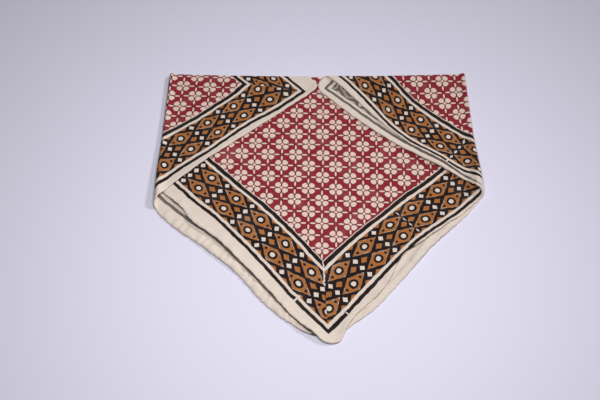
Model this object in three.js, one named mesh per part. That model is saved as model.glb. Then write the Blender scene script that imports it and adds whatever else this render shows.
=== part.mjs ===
// A block-printed cotton square, folded into a neat pentagon.
// First it is folded corner to corner, printed face out, so that the fold runs along the top.
// Then both side corners are folded in over the front, until their tips meet below the top fold.
// Millimetres, +Z up. The cloth rests on Z = 0, +X runs along the top fold and +Y points to it.
import * as THREE from 'three';

// Cloth
const SIDE_A = 547; // cut length of the front's lower right edge
const SIDE_B = 577; // cut length of the front's lower left edge
const THICKNESS = 1;
const LAYER_GAP = 0.6; // air between the two layers of the first fold
const FLAP_GAP = 0.6; // air between a side flap and the front under it

// The four corners of the cut, in cut order. u runs along side A and v along side B.
// along and across say where the corner lies once the first fold is made flat again:
// along the fold line, and across it with the front negative. round is the corner's radius.
const CORNERS = [
  { u: 0, v: 0, along: 10.5, across: -396.5, round: 19 },
  { u: SIDE_A, v: 0, along: 393.5, across: -18, round: 19 },
  { u: SIDE_A, v: SIDE_B, along: 5, across: 398, round: 34 },
  { u: 0, v: SIDE_B, along: -396.5, across: 18, round: 19 },
];

// Stretches where the hem was trimmed or rolled inwards. edge counts from the front apex round the cut,
// at is the middle of the stretch along u or v, half is half its length.
const TRIMS = [
  { edge: 0, at: 220, half: 260, depth: 13 },
  { edge: 3, at: 300, half: 55, depth: 4 },
];

// Places where the cloth was tugged across the fold line, fading out over reach.
const TUGS = [
  { along: 285, across: 85, pull: 17, reach: 75 },
  { along: 300, across: -110, pull: -7, reach: 75 },
];

// Side folds, a row for each depth below the top fold. out is the reach of the fold from the middle,
// loop the radius inside the bend, ease the radius with which the flap comes down on the front.
const LEFT_FOLD = [
  { depth: 0, out: 193.5, loop: 1.6, ease: 18 },
  { depth: 100, out: 196.5, loop: 1.3, ease: 20 },
  { depth: 185, out: 199.5, loop: 2.6, ease: 25 },
  { depth: 225, out: 197.5, loop: 3, ease: 25 },
];
const RIGHT_FOLD = [
  { depth: 0, out: 194, loop: 1.4, ease: 18 },
  { depth: 100, out: 196, loop: 1.8, ease: 20 },
  { depth: 180, out: 199.5, loop: 4.2, ease: 25 },
  { depth: 225, out: 196, loop: 4.5, ease: 25 },
];

// Places where a layer stands off the one below it. gap 0 opens between back and front,
// gap 1 between front and flap, gap 2 between the two layers of a flap.
const LIFTS = [
  { gap: 0, x: -28, y: -372, rise: 3.2, reach: 34 },
  { gap: 0, x: 120, y: -265, rise: 1.6, reach: 45 },
  { gap: 0, x: -120, y: -230, rise: 1.2, reach: 60 },
  { gap: 0, x: 30, y: -180, rise: 1.1, reach: 110 },
  { gap: 1, x: -150, y: -110, rise: 1, reach: 60 },
  { gap: 1, x: 140, y: -120, rise: 1.4, reach: 60 },
  { gap: 2, x: 26, y: -22, rise: 1.8, reach: 26 },
  { gap: 2, x: 150, y: -60, rise: 0.9, reach: 60 },
];
const LIFT_END = 186; // no lift from here outwards, where the side folds begin
const LIFT_FULL = 150;

// The top fold hangs a little lower in the middle than at its ends.
const TOP_SAG = 4;
const TOP_SAG_HALF = 195;
const TOP_SAG_FADE = 120;

// Mesh lines, from one end of the cloth to the other: up to each place at about this step.
const COLUMN_STEPS = [
  { to: -368, step: 4.5 },
  { to: -226, step: 22 },
  { to: -212, step: 4.7 },
  { to: -188, step: 2.2 },
  { to: -16, step: 22 },
  { to: 16, step: 4.6 },
  { to: 188, step: 22 },
  { to: 212, step: 2.2 },
  { to: 226, step: 4.7 },
  { to: 366, step: 22 },
];
const TIP_STEP = 4.5;
const BEND_STEPS = 6;
const ROW_STEPS = [
  { to: 14, step: 4.5 },
  { to: 148, step: 22 },
  { to: 232, step: 12 },
  { to: 400, step: 22 },
];
const EDGE_CLEARANCE = 0.35; // share of a step that a mesh line keeps from the hem
const EDGE_POINT_STEP = 2;
const CORNER_STEPS = 10;

// Sizes that follow
const HALF_LAYER = THICKNESS / 2;
const BEND = (THICKNESS + LAYER_GAP) / 2; // mid radius of the top fold
const BEND_HALF_LENGTH = (Math.PI * BEND) / 2;
const PAIR = 2 * THICKNESS + LAYER_GAP; // height of the two layers of the first fold
const GAPS = [
  { from: THICKNESS, height: LAYER_GAP },
  { from: PAIR, height: FLAP_GAP },
  { from: PAIR + FLAP_GAP + THICKNESS, height: LAYER_GAP },
];

const { clamp, lerp, smoothstep } = THREE.MathUtils;

// 1 at t = 0, smoothly down to 0 at t = -1 and t = 1
function swell(t) {
  return Math.abs(t) < 1 ? 0.5 + 0.5 * Math.cos(Math.PI * t) : 0;
}

// 1 at the middle of a place, fading out over its reach
function fade(da, db, reach) {
  return Math.exp(-(da * da + db * db) / (reach * reach));
}

// The row of a fold table at a depth, changing smoothly from row to row
function foldAt(table, depth) {
  const last = table.length - 1;
  const d = clamp(depth, table[0].depth, table[last].depth);
  const k = clamp(table.findIndex((row) => row.depth >= d), 1, last);
  const [a, b] = [table[k - 1], table[k]];
  const t = smoothstep(d, a.depth, b.depth);
  return { out: lerp(a.out, b.out, t), loop: lerp(a.loop, b.loop, t), ease: lerp(a.ease, b.ease, t) };
}

// How far the hem is trimmed in at a place along an edge of the cut
function trimAt(edge, at) {
  const own = TRIMS.filter((trim) => trim.edge === edge);
  return own.reduce((depth, trim) => depth + trim.depth * swell((at - trim.at) / trim.half), 0);
}

// Points round the cut edge, as [u, v], with rounded corners
function cutEdge() {
  const points = [];
  CORNERS.forEach((corner, k) => {
    const next = CORNERS[(k + 1) % CORNERS.length];
    const inward = (c) => [
      c.u + (c.u === 0 ? c.round : -c.round),
      c.v + (c.v === 0 ? c.round : -c.round),
    ];
    const [cu, cv] = inward(corner);
    const start = Math.PI + (k * Math.PI) / 2;
    for (let i = 0; i < CORNER_STEPS; i++) {
      const angle = start + ((Math.PI / 2) * i) / CORNER_STEPS;
      points.push([cu + corner.round * Math.cos(angle), cv + corner.round * Math.sin(angle)]);
    }
    const [nu, nv] = inward(next);
    const out = start + Math.PI / 2;
    const from = [cu + corner.round * Math.cos(out), cv + corner.round * Math.sin(out)];
    const to = [nu + next.round * Math.cos(out), nv + next.round * Math.sin(out)];
    const steps = Math.round(Math.hypot(to[0] - from[0], to[1] - from[1]) / EDGE_POINT_STEP);
    for (let i = 0; i < steps; i++) {
      const u = lerp(from[0], to[0], i / steps);
      const v = lerp(from[1], to[1], i / steps);
      const trim = trimAt(k, k % 2 === 0 ? u : v);
      points.push([u - trim * Math.cos(out), v - trim * Math.sin(out)]);
    }
  });
  return points;
}

// Where a point of the cut lies along and across the fold line
function lay([u, v]) {
  const a = u / SIDE_A;
  const b = v / SIDE_B;
  const shares = [(1 - a) * (1 - b), a * (1 - b), a * b, (1 - a) * b];
  const along = CORNERS.reduce((sum, corner, k) => sum + shares[k] * corner.along, 0);
  const across = CORNERS.reduce((sum, corner, k) => sum + shares[k] * corner.across, 0);
  const tug = TUGS.reduce((sum, t) => sum + t.pull * fade(along - t.along, across - t.across, t.reach), 0);
  return { along, across: across + tug };
}

// The hem as two chains from the left tip to the right tip, one on the front and one on the back
function hemChains() {
  const laid = cutEdge().map(lay);
  const left = laid.reduce((best, p, k) => (p.along < laid[best].along ? k : best), 0);
  const turned = [...laid.slice(left), ...laid.slice(0, left)];
  const right = turned.reduce((best, p, k) => (p.along > turned[best].along ? k : best), 0);
  return { front: turned.slice(0, right + 1), back: [...turned.slice(right), turned[0]].reverse() };
}

// Height of a chain across the fold line at a place along it
function chainAt(chain, along) {
  const k = clamp(chain.findIndex((p) => p.along >= along), 1, chain.length - 1);
  const [p, q] = [chain[k - 1], chain[k]];
  return lerp(p.across, q.across, clamp((along - p.along) / (q.along - p.along), 0, 1));
}

// Evenly spaced values from one place to another, without the first
function stepsBetween(from, to, step) {
  const count = Math.max(1, Math.round((to - from) / step));
  return Array.from({ length: count }, (_, i) => lerp(from, to, (i + 1) / count));
}

// Mesh lines across the fold, close together in the bend
function rowLines() {
  const far = stepsBetween(0, BEND_HALF_LENGTH, (2 * BEND_HALF_LENGTH) / BEND_STEPS);
  for (const part of ROW_STEPS) far.push(...stepsBetween(far.at(-1), part.to, part.step));
  return [...far.map((r) => -r).reverse(), 0, ...far];
}

// Places along the fold where a chain of the hem passes a row
function crossings(chain, row) {
  const passing = chain.slice(1).map((q, k) => [chain[k], q]);
  const found = passing.filter(([p, q]) => (p.across < row) !== (q.across < row));
  return found.map(([p, q]) => lerp(p.along, q.along, (row - p.across) / (q.across - p.across)));
}

// Mesh lines along the fold, from tip to tip, with more of them where the hem goes round the top bend
function columnLines({ front, back }) {
  const lines = [front[0].along];
  for (const part of COLUMN_STEPS) lines.push(...stepsBetween(lines.at(-1), part.to, part.step));
  lines.push(...stepsBetween(lines.at(-1), front.at(-1).along, TIP_STEP));
  const bendRows = rowLines().filter((r) => Math.abs(r) <= BEND_HALF_LENGTH);
  const atBend = [front, back].flatMap((chain) => bendRows.flatMap((row) => crossings(chain, row)));
  const clear = lines.filter((line) => atBend.every((place) => Math.abs(place - line) > BEND));
  return [...clear, ...atBend].sort((p, q) => p - q);
}

// First fold: y and height of the middle of the cloth, and which way its printed face looks there
function foldTop(across) {
  if (Math.abs(across) < BEND_HALF_LENGTH) {
    const outY = Math.cos(across / BEND);
    const outHeight = -Math.sin(across / BEND);
    return { y: BEND * outY, height: HALF_LAYER + BEND + BEND * outHeight, outY, outHeight };
  }
  const y = BEND_HALF_LENGTH - Math.abs(across);
  if (across < 0) return { y, height: HALF_LAYER + 2 * BEND, outY: 0, outHeight: 1 };
  return { y, height: HALF_LAYER, outY: 0, outHeight: -1 };
}

// Side fold: x and z of a point that stands rise above the middle of its layer, which is at this height,
// bent up round a loop and eased down on the front
function foldSide(along, y, height, rise) {
  const side = along < 0 ? -1 : 1;
  const { out, loop, ease } = foldAt(side < 0 ? LEFT_FOLD : RIGHT_FOLD, -y);
  const outward = PAIR - height;
  const start = out - loop - PAIR;
  const over = Math.acos(1 - Math.max(0, 2 * loop - FLAP_GAP) / (loop + ease));
  const loopLength = (loop + outward) * (Math.PI + over);
  const easeLength = (ease - outward) * over;
  const loopRadius = loop + outward - rise;
  const easeRadius = ease - outward + rise;
  const run = Math.abs(along) - start;
  const easeX = start - (loop + ease) * Math.sin(over);
  const easeZ = PAIR + loop + (loop + ease) * Math.cos(over);
  if (run <= 0) return { x: along, z: height + rise };
  if (run <= loopLength) {
    const angle = run / (loop + outward);
    const x = start + loopRadius * Math.sin(angle);
    return { x: side * x, z: PAIR + loop - loopRadius * Math.cos(angle) };
  }
  if (run <= loopLength + easeLength) {
    const angle = over - (run - loopLength) / (ease - outward);
    return { x: side * (easeX + easeRadius * Math.sin(angle)), z: easeZ - easeRadius * Math.cos(angle) };
  }
  return { x: side * (easeX - (run - loopLength - easeLength)), z: easeZ - easeRadius };
}

// Last touches: the top fold sags and layers stand off each other, while the bottom stays flat
function settle(x, y, z) {
  const sag = TOP_SAG * Math.max(0, 1 - (x / TOP_SAG_HALF) ** 2) * Math.exp(Math.min(0, y) / TOP_SAG_FADE);
  const inside = 1 - smoothstep(Math.abs(x), LIFT_FULL, LIFT_END);
  const lift = LIFTS.reduce((sum, place) => {
    const gap = GAPS[place.gap];
    const share = clamp((z - gap.from) / gap.height, 0, 1);
    return sum + place.rise * share * fade(x - place.x, y - place.y, place.reach);
  }, 0);
  return new THREE.Vector3(x, y - sag, z + inside * lift);
}

// A point of the laid cloth in its folded place, offset from the middle towards the printed face
function foldedPoint(along, across, offset) {
  const top = foldTop(across);
  const { x, z } = foldSide(along, top.y, top.height, offset * top.outHeight);
  return settle(x, top.y + offset * top.outY, z);
}

// Columns of laid points, each from the front hem to the back hem
function laidColumns() {
  const { front, back } = hemChains();
  const rows = rowLines();
  const lines = columnLines({ front, back });
  return lines.map((along, k) => {
    const low = chainAt(front, along);
    const high = chainAt(back, along);
    if (k === 0 || k === lines.length - 1) return [{ along, across: low }];
    const inside = rows.filter((r, i) => {
      const step = (rows[Math.min(i + 1, rows.length - 1)] - rows[Math.max(i - 1, 0)]) / 2;
      return r > low + EDGE_CLEARANCE * step && r < high - EDGE_CLEARANCE * step;
    });
    return [low, ...inside, high].map((across) => ({ along, across }));
  });
}

// Triangles between two neighbouring columns, from the front hem to the back hem
function zip(left, right, emit) {
  let i = 0;
  let j = 0;
  while (i < left.length - 1 || j < right.length - 1) {
    const leftNext = i < left.length - 1 ? left[i + 1].across : Infinity;
    const rightNext = j < right.length - 1 ? right[j + 1].across : Infinity;
    if (leftNext <= rightNext) {
      emit(left[i], right[j], left[i + 1]);
      i += 1;
    } else {
      emit(left[i], right[j], right[j + 1]);
      j += 1;
    }
  }
}

// The closed cloth: printed face, reverse face and the rim along the hem
function clothGeometry() {
  const columns = laidColumns();
  const points = columns.flat();
  const positions = [];
  points.forEach((p, k) => {
    p.index = k;
    positions.push(...foldedPoint(p.along, p.across, HALF_LAYER).toArray());
  });
  points.forEach((p) => positions.push(...foldedPoint(p.along, p.across, -HALF_LAYER).toArray()));
  const triangles = [];
  const under = (p) => p.index + points.length;
  for (let k = 0; k < columns.length - 1; k++) {
    const [left, right] = [columns[k], columns[k + 1]];
    zip(left, right, (a, b, c) => {
      triangles.push(a.index, b.index, c.index);
      triangles.push(under(a), under(c), under(b));
    });
    const rim = (p, q) => triangles.push(p.index, under(p), under(q), p.index, under(q), q.index);
    rim(left[0], right[0]);
    rim(right.at(-1), left.at(-1));
  }
  const geometry = new THREE.BufferGeometry();
  geometry.setAttribute('position', new THREE.Float32BufferAttribute(positions, 3));
  geometry.setIndex(triangles);
  geometry.computeBoundingBox();
  const { min, max } = geometry.boundingBox;
  geometry.translate(-(min.x + max.x) / 2, -(min.y + max.y) / 2, -min.z);
  geometry.computeVertexNormals();
  return geometry;
}

const cotton = new THREE.MeshStandardMaterial({ color: 0x8e2231, roughness: 0.92, metalness: 0 });
const cloth = new THREE.Mesh(clothGeometry(), cotton);
cloth.name = 'cloth';

const foldedCloth = new THREE.Group();
foldedCloth.add(cloth);

export default foldedCloth;
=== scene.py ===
import logging
import math
from dataclasses import dataclass, field
from enum import Enum
from typing import Callable, Sequence, Union

import bmesh
import bpy
import numpy as np
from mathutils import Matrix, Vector


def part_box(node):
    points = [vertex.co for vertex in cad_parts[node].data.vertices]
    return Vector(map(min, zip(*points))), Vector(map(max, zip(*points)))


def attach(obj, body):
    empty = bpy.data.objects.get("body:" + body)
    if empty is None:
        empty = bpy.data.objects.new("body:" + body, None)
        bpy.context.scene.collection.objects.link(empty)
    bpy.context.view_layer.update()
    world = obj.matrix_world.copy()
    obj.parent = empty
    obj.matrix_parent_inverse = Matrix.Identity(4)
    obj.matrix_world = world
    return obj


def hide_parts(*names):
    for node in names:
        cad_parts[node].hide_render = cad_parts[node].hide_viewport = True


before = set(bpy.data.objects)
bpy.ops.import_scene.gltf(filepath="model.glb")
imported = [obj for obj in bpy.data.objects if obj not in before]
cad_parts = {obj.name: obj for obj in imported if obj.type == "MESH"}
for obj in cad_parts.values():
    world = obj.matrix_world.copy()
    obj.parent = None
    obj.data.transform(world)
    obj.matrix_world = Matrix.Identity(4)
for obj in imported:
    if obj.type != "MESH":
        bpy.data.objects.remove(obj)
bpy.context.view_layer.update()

Array = np.ndarray
Span = tuple[float, float]
Colour = tuple[float, float, float]
Value = Union["Signal", float]

log = logging.getLogger("folded_cloth")

MM = 0.001
CAD_NODE = "cloth"
IMAGE_WIDTH = 600
SENSOR_WIDTH = 36.0


# Words for the cloth

class Edge(Enum):
    """The four cut edges, named for where they lie once the cloth is folded."""

    FRONT_RIGHT = 0
    BACK_RIGHT = 1
    BACK_LEFT = 2
    FRONT_LEFT = 3


class Gap(Enum):
    """The air under each layer of the stack, counted from the floor."""

    UNDER_BACK = 0
    UNDER_FRONT = 1
    UNDER_FLAP = 2
    INSIDE_FLAP = 3


@dataclass(frozen=True)
class Corner:
    """A corner of the cut: its place on the cut, and where it lies along and across the top fold."""

    u: float
    v: float
    along: float
    across: float
    round: float


@dataclass(frozen=True)
class HemLift:
    """A stretch of hem that stands up and ripples."""

    edge: Edge
    start: float
    stop: float
    height: float
    reach: float
    pitch: float
    ripple: float
    inset: float = 0.0


@dataclass(frozen=True)
class Tug:
    """A place where the cloth was tugged across the fold line."""

    along: float
    across: float
    pull: float
    reach: float


@dataclass(frozen=True)
class Rise:
    """A soft ridge, or a trough where height is negative, that opens one gap of the stack."""

    gap: Gap
    x: float
    y: float
    height: float
    length: float
    width: float
    turn: float = 0.0


# Small sums on arrays

TINY = 1e-9
WAVE_STRAY = 1.7
WAVE_STRETCH = 2.9


def smooth_step(low: float, high: float, at: Array) -> Array:
    """Rise smoothly from 0 at low to 1 at high."""
    t = np.clip((at - low) / (high - low), 0.0, 1.0)
    return t * t * (3.0 - 2.0 * t)


def uneven_wave(at: Array, pitch: float) -> Array:
    """Give waves from -1 to 1 whose lengths vary about a pitch."""
    turn = 2.0 * np.pi * np.asarray(at, float) / pitch
    return np.sin(turn + WAVE_STRAY * np.sin(turn / WAVE_STRETCH))


def through(at: Array, places: Sequence[float], values: Sequence[float]) -> Array:
    """Read a smooth curve that passes through a few places.

    Args:
        at: where to read the curve.
        places: the places it passes, in rising order.
        values: its value at each place.

    Returns:
        The curve's values, held level beyond both ends.
    """
    x = np.asarray(places, float)
    y = np.asarray(values, float)
    slope = np.gradient(y, x)
    inside = np.clip(at, x[0], x[-1])
    k = np.clip(np.searchsorted(x, inside, side="right") - 1, 0, len(x) - 2)
    step = x[k + 1] - x[k]
    t = (inside - x[k]) / step
    start = (1.0 + 2.0 * t) * (1.0 - t) ** 2 * y[k] + t * (1.0 - t) ** 2 * step * slope[k]
    end = t * t * (3.0 - 2.0 * t) * y[k + 1] + t * t * (t - 1.0) * step * slope[k + 1]
    return start + end


def steps_between(start: float, stop: float, step: float) -> list[float]:
    """List evenly spaced values from start to stop, without start itself."""
    count = max(1, round((stop - start) / step))
    return [start + (stop - start) * (i + 1) / count for i in range(count)]


@dataclass(frozen=True)
class Track:
    """Measures that change along an edge or a fold. Each row is a place and its measures there."""

    rows: tuple[tuple[float, ...], ...]

    def smooth(self, at: Array) -> list[Array]:
        """Read every measure as a smooth curve through the rows."""
        places, *measures = zip(*self.rows)
        return [through(at, places, values) for values in measures]

    def straight(self, at: Array) -> list[Array]:
        """Read every measure along straight lines between the rows."""
        places, *measures = zip(*self.rows)
        return [np.interp(at, places, values) for values in measures]


# The print's places on the cut

@dataclass
class Cut:
    """The square as it was cut, in millimetres along both of its sides."""

    side_u: float
    side_v: float

    def from_edge(self, edge: Edge, u: Array, v: Array) -> tuple[Array, Array]:
        """Give places on the cut as the place along an edge and the distance from it.

        Args:
            edge: the edge of the cut.
            u: places along u.
            v: places along v.

        Returns:
            The places along the edge, and the distances.
        """
        along = v if edge in (Edge.FRONT_LEFT, Edge.BACK_RIGHT) else u
        inward = {
            Edge.FRONT_RIGHT: v,
            Edge.BACK_RIGHT: self.side_u - u,
            Edge.BACK_LEFT: self.side_v - v,
            Edge.FRONT_LEFT: u,
        }[edge]
        return along, inward


@dataclass
class PrintLayout(Cut):
    """Where the hand blocks put the border and the flowers on the cut."""

    borders: dict[Edge, Track]
    runs: dict[Edge, Track]
    field_start_u: tuple[float, float, float] = (73.0, 77.5, 69.0)
    field_end_u: tuple[float, float, float] = (65.0, 60.0, 64.0)
    field_start_v: tuple[float, float, float] = (81.0, 75.5, 64.0)
    field_end_v: tuple[float, float, float] = (66.0, 68.0, 70.0)
    flowers_u: float = 17.25
    flowers_v: float = 17.95
    first_flower_u: float = 0.466
    first_flower_v: float = 0.80
    left_shift_u: float = 0.18
    left_shift_v: float = 0.12
    left_from_v: Span = (330.0, 420.0)
    left_until_u: Span = (200.0, 300.0)

    def border_share(self, edge: Edge, u: Array, v: Array) -> Array:
        """Say how far into an edge's border places are.

        Args:
            edge: the edge of the cut.
            u: places along u.
            v: places along v.

        Returns:
            0 at the border's outer line, 1 at the field, less than 0 on the plain margin.
        """
        along, inward = self.from_edge(edge, u, v)
        line, inner = self.borders[edge].smooth(along)
        return (inward - line) / (inner - line)

    def lozenge_run(self, edge: Edge, u: Array, v: Array) -> Array:
        """Count the lozenges along an edge's border up to places."""
        along, _ = self.from_edge(edge, u, v)
        return self.runs[edge].straight(along)[0]

    def nearer(
        self, read: Callable[[Edge, Array, Array], Array], u: Array, v: Array
    ) -> tuple[Array, Array]:
        """Read a measure from the nearer of each two opposite edges.

        Args:
            read: gives the measure of places from one edge.
            u: places along u.
            v: places along v.

        Returns:
            The measure from the edges along v, and from the edges along u.
        """
        low_u, high_u = read(Edge.FRONT_LEFT, u, v), read(Edge.BACK_RIGHT, u, v)
        low_v, high_v = read(Edge.FRONT_RIGHT, u, v), read(Edge.BACK_LEFT, u, v)
        return np.where(u < self.side_u / 2, low_u, high_u), np.where(v < self.side_v / 2, low_v, high_v)

    def border_place(self, u: Array, v: Array) -> Array:
        """Give the border shares from the edges along v and along u, in two columns."""
        return np.stack(self.nearer(self.border_share, u, v), axis=-1)

    def border_run(self, u: Array, v: Array) -> Array:
        """Give the lozenge counts along u and along v, in two columns."""
        return np.stack(self.nearer(self.lozenge_run, u, v)[::-1], axis=-1)

    def field_grid(self, u: Array, v: Array) -> Array:
        """Give places on the cut in flowers, whole numbers at the flowers' middles.

        Args:
            u: places along u.
            v: places along v.

        Returns:
            The places, in two columns.
        """
        def bow(values: tuple[float, float, float], t: Array) -> Array:
            """Run a bowed line through a start, a middle and an end."""
            low, mid, high = values
            return low * (1 - t) * (1 - 2 * t) + mid * 4 * t * (1 - t) + high * t * (2 * t - 1)

        t_u = u / self.side_u
        t_v = v / self.side_v
        start_u = bow(self.field_start_u, t_v)
        start_v = bow(self.field_start_v, t_u)
        span_u = self.side_u - bow(self.field_end_u, t_v) - start_u
        span_v = self.side_v - bow(self.field_end_v, t_u) - start_v
        near_left = smooth_step(*self.left_from_v, v) * (1.0 - smooth_step(*self.left_until_u, u))
        grid_u = (u - start_u) / span_u * self.flowers_u - self.first_flower_u
        grid_v = (v - start_v) / span_v * self.flowers_v - self.first_flower_v
        grid_u = grid_u + self.left_shift_u * near_left
        grid_v = grid_v + self.left_shift_v * near_left
        return np.stack([grid_u, grid_v], axis=-1)


# The cloth

BAKE_PRINTED = 0.65
BAKE_REVERSE_FROM = 0.67
BAKE_REVERSE = 0.5


def add_object(name: str, data: bpy.types.ID) -> bpy.types.Object:
    """Put a mesh, a light or a camera into the scene.

    Args:
        name: the object's name.
        data: what it shows.

    Returns:
        The object.
    """
    made = bpy.data.objects.new(name, data)
    bpy.context.scene.collection.objects.link(made)
    return made


@dataclass
class FoldedCloth(Cut):
    """The cotton square, folded corner to corner and then in from both sides. Millimetres."""

    side_u: float = 547.0
    side_v: float = 577.0
    thickness: float = 0.45
    layer_gap: float = 0.5
    flap_gap: float = 0.5
    hem_width: float = 4.5
    hem_soft: float = 0.8
    hem_thickness: float = 1.1
    corners: tuple[Corner, ...] = (
        Corner(0.0, 0.0, 12.0, -395.3, 19.0),
        Corner(547.0, 0.0, 392.0, -18.0, 15.0),
        Corner(547.0, 577.0, 5.0, 398.0, 48.0),
        Corner(0.0, 577.0, -394.5, 18.0, 10.0),
    )
    hems: dict[Edge, Track] = field(default_factory=dict)
    lifts: tuple[HemLift, ...] = ()
    hem_sway: float = 0.35
    hem_sway_pitch: float = 13.0
    lift_fade: float = 25.0
    tugs: tuple[Tug, ...] = (
        Tug(along=285.0, across=85.0, pull=17.0, reach=75.0),
        Tug(along=300.0, across=-110.0, pull=-7.0, reach=75.0),
    )
    # Depth below the top fold, then how far out the side fold reaches, its loop and its ease
    left_fold: Track = Track((
        (0.0, 193.5, 1.3, 16.0),
        (100.0, 196.5, 1.5, 22.0),
        (185.0, 199.5, 2.8, 25.0),
        (225.0, 197.5, 3.1, 25.0),
    ))
    right_fold: Track = Track((
        (0.0, 193.0, 1.2, 16.0),
        (100.0, 195.5, 1.9, 22.0),
        (180.0, 199.5, 4.4, 28.0),
        (225.0, 195.5, 4.6, 28.0),
    ))
    rises: tuple[Rise, ...] = (
        Rise(Gap.UNDER_FRONT, x=-14.0, y=-384.0, height=4.0, length=24.0, width=15.0, turn=-42.0),
        Rise(Gap.UNDER_BACK, x=60.0, y=-338.0, height=2.4, length=22.0, width=3.2, turn=47.0),
        Rise(Gap.UNDER_BACK, x=88.0, y=-305.0, height=3.2, length=20.0, width=3.2, turn=49.0),
        Rise(Gap.UNDER_BACK, x=112.0, y=-279.0, height=3.2, length=18.0, width=3.2, turn=46.0),
        Rise(Gap.UNDER_BACK, x=121.0, y=-262.0, height=3.6, length=22.0, width=3.2, turn=50.0),
        Rise(Gap.UNDER_BACK, x=146.0, y=-243.0, height=3.2, length=22.0, width=3.2, turn=44.0),
        Rise(Gap.UNDER_BACK, x=160.0, y=-224.0, height=2.8, length=16.0, width=3.2, turn=42.0),
        Rise(Gap.UNDER_BACK, x=-118.0, y=-274.0, height=0.9, length=30.0, width=3.6, turn=-43.0),
        Rise(Gap.UNDER_FRONT, x=120.0, y=-265.0, height=1.6, length=45.0, width=45.0),
        Rise(Gap.UNDER_FRONT, x=-120.0, y=-230.0, height=1.2, length=60.0, width=60.0),
        Rise(Gap.UNDER_FRONT, x=30.0, y=-180.0, height=1.1, length=110.0, width=110.0),
        Rise(Gap.UNDER_FLAP, x=-150.0, y=-110.0, height=1.0, length=60.0, width=60.0),
        Rise(Gap.UNDER_FLAP, x=140.0, y=-120.0, height=1.4, length=60.0, width=60.0),
        Rise(Gap.UNDER_FLAP, x=152.0, y=-152.0, height=2.6, length=40.0, width=30.0, turn=-35.0),
        Rise(Gap.INSIDE_FLAP, x=26.0, y=-22.0, height=1.8, length=26.0, width=26.0),
        Rise(Gap.INSIDE_FLAP, x=150.0, y=-60.0, height=0.9, length=60.0, width=60.0),
    )
    floor_reach: Span = (-1.0, 0.9)
    rise_full: float = 150.0
    rise_end: float = 186.0
    top_sag: float = 4.0
    top_sag_half: float = 195.0
    top_sag_fade: float = 120.0
    fine_step: float = 2.25
    hidden_step: float = 10.0
    fold_step: float = 0.8
    fold_from: float = 186.0
    fold_to: float = 216.0
    mesh_reach: float = 400.0
    bend_steps: int = 8
    bend_clear: float = 0.3
    hem_clear: float = 0.1
    hem_rows: tuple[float, ...] = (2.0, 5.5, 7.5)
    visible_hem: float = 34.0
    edge_point_step: float = 1.5
    corner_steps: int = 12
    solve_rounds: int = 30

    @property
    def bend(self) -> float:
        """Give the mid radius of the top fold."""
        return (self.thickness + self.layer_gap) / 2

    @property
    def bend_half(self) -> float:
        """Give half the length of cloth in the top fold."""
        return math.pi * self.bend / 2

    @property
    def pair(self) -> float:
        """Give the height of the two layers of the first fold."""
        return 2 * self.thickness + self.layer_gap

    def trim_at(self, edge: Edge, at: Array) -> Array:
        """Say how far in the hem runs at a place along an edge."""
        return self.hems[edge].smooth(at)[0] + self.hem_sway * uneven_wave(at, self.hem_sway_pitch)

    def hem_lift(self, u: Array, v: Array) -> Array:
        """Say how far the standing hems raise places on the cut.

        Args:
            u: places along u.
            v: places along v.

        Returns:
            The heights.
        """
        total = np.zeros_like(u)
        for lift in self.lifts:
            along, inward = self.from_edge(lift.edge, u, v)
            inward = np.maximum(0.0, inward - self.trim_at(lift.edge, along))
            begin = smooth_step(lift.start, lift.start + self.lift_fade, along)
            end = 1.0 - smooth_step(lift.stop - self.lift_fade, lift.stop, along)
            height = lift.height + lift.ripple * uneven_wave(along, lift.pitch)
            total += begin * end * height * np.exp(-(((inward - lift.inset) / lift.reach) ** 2))
        return total

    def cut_edge(self) -> Array:
        """List points round the cut edge, as u and v, with rounded corners.

        Returns:
            The points, one row each.
        """
        points: list[tuple[float, float]] = []
        count = len(self.corners)
        for k, corner in enumerate(self.corners):
            after = self.corners[(k + 1) % count]
            cu, cv = self.corner_centre(corner)
            start = math.pi + k * math.pi / 2
            for i in range(self.corner_steps):
                angle = start + math.pi / 2 * i / self.corner_steps
                points.append((cu + corner.round * math.cos(angle), cv + corner.round * math.sin(angle)))
            nu, nv = self.corner_centre(after)
            out = start + math.pi / 2
            out_u, out_v = math.cos(out), math.sin(out)
            from_u, from_v = cu + corner.round * out_u, cv + corner.round * out_v
            to_u, to_v = nu + after.round * out_u, nv + after.round * out_v
            steps = round(math.hypot(to_u - from_u, to_v - from_v) / self.edge_point_step)
            for i in range(steps):
                u = from_u + (to_u - from_u) * i / steps
                v = from_v + (to_v - from_v) * i / steps
                trim = float(self.trim_at(Edge(k), u if k % 2 == 0 else v))
                points.append((u - trim * out_u, v - trim * out_v))
        return np.array(points)

    def corner_centre(self, corner: Corner) -> tuple[float, float]:
        """Give the middle of a rounded corner, as u and v.

        Args:
            corner: the corner.

        Returns:
            Its u and v.
        """
        cu = corner.u + (corner.round if corner.u == 0 else -corner.round)
        cv = corner.v + (corner.round if corner.v == 0 else -corner.round)
        return cu, cv

    def hem_distance(self, u: Array, v: Array) -> Array:
        """Measure how far places on the cut are from the hem.

        Args:
            u: places along u.
            v: places along v.

        Returns:
            The distances.
        """
        distance = np.full_like(u, self.side_u)
        for edge in Edge:
            along, inward = self.from_edge(edge, u, v)
            distance = np.minimum(distance, inward - self.trim_at(edge, along))
        for corner in self.corners:
            cu, cv = self.corner_centre(corner)
            beyond_u = (u - cu) * (1 if corner.u > 0 else -1)
            beyond_v = (v - cv) * (1 if corner.v > 0 else -1)
            outside = (beyond_u > 0) & (beyond_v > 0)
            rounded = corner.round - np.hypot(beyond_u, beyond_v)
            distance = np.where(outside, np.minimum(distance, rounded), distance)
        return distance

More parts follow.
